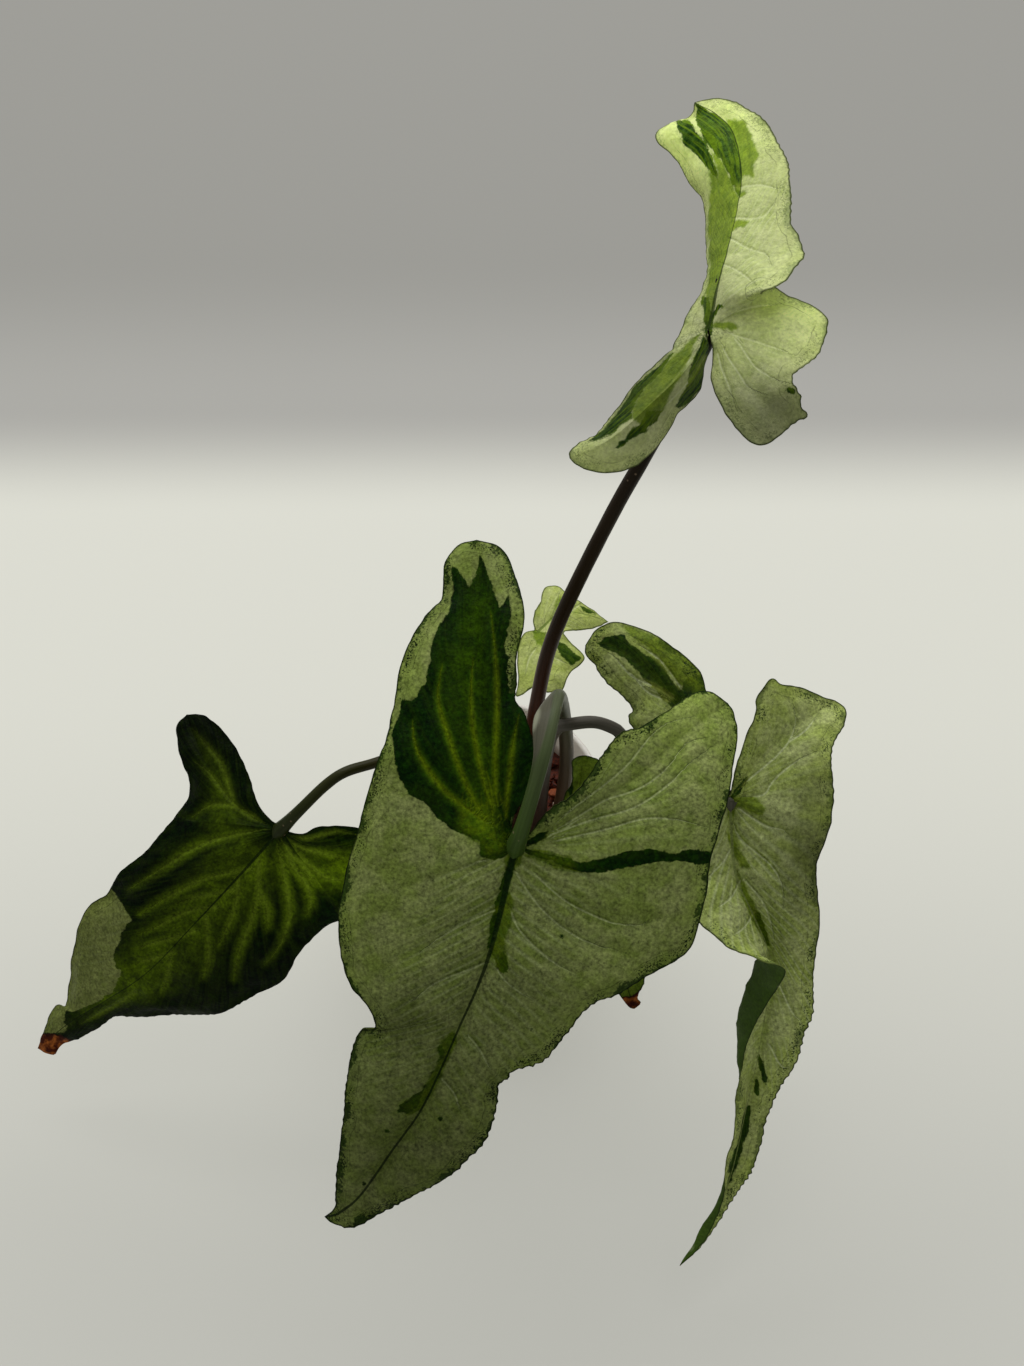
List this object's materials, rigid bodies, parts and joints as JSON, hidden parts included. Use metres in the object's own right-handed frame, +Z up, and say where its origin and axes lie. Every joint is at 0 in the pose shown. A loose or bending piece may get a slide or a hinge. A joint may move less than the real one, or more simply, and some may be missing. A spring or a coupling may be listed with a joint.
{
  "type": "arrowhead plant in a nursery pot",
  "caption": "Small potted arrowhead plant with broad variegated arrow-shaped leaves on arching stalks, in a round plastic nursery pot.",
  "frame": {"origin": "centre of the pot's underside, on the surface the pot stands on", "axes": "+Z up along the pot's axis, the plant's front faces -Y, +X to its right as seen from the front"},
  "size_m": [0.2498, 0.2585, 0.2612],
  "materials": {
    "pot": "frosted, thin, slightly translucent",
    "potting_mix": "damp bark chips",
    "blade_cream": "satin leaf",
    "blade_grey": "satin leaf",
    "blade_dark": "satin leaf",
    "stalk": "smooth fleshy stalk"
  },
  "bodies": {
    "root": {"pot": "pot", "potting_mix": "potting_mix", "leaf_tall": "blade_cream", "leaf_front": "blade_grey", "leaf_left": "blade_dark", "leaf_right": "blade_grey", "leaf_young": "blade_cream", "leaf_low": "blade_grey", "stalk_tall": "stalk", "stalk_front": "stalk", "stalk_left": "stalk", "stalk_right": "stalk", "stalk_young": "stalk", "stalk_low": "stalk"}
  },
  "joints": []
}
